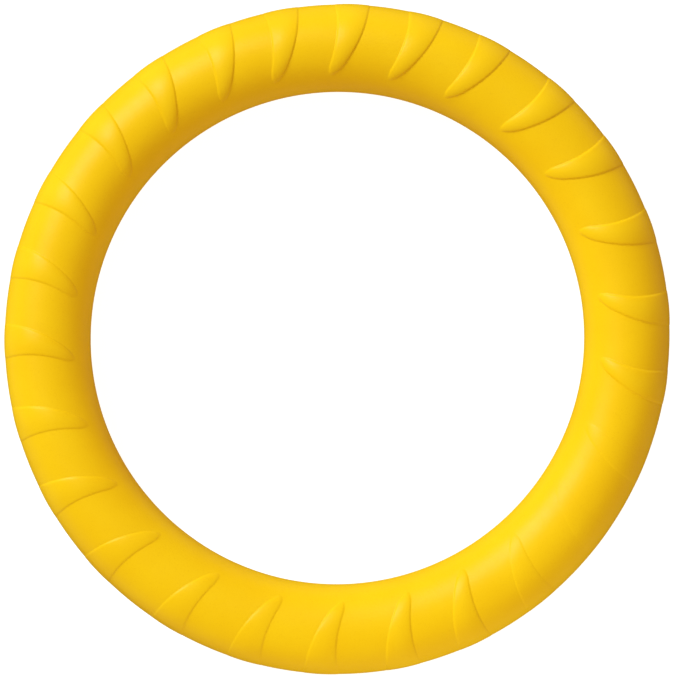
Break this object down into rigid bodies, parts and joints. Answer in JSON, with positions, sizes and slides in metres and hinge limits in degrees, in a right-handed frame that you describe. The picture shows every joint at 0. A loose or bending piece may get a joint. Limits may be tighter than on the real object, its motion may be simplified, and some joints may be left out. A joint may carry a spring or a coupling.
{
  "type": "soft juggling ring",
  "caption": "Round-section soft foam ring for juggling and tossing, with leaf-shaped grip fins moulded all round and a hidden stiffening hoop.",
  "frame": {"origin": "centre of the ring, on the mid-plane where its two halves meet", "axes": "+Z along the ring's axis, out of the front face; +Y across the ring's top, through the foot of one fin; the ring lies in the XY plane"},
  "size_m": [0.3193, 0.3194, 0.0438],
  "materials": {
    "foam": "matte moulded closed-cell foam skin, saturated warm yellow",
    "hoop_plastic": "natural extruded polyethylene tube, waxy",
    "plug_plastic": "black moulded polypropylene"
  },
  "bodies": {
    "root": {"front_half": "foam", "rear_half": "foam", "core_hoop": "hoop_plastic", "core_joint_plug": "plug_plastic"}
  },
  "joints": []
}
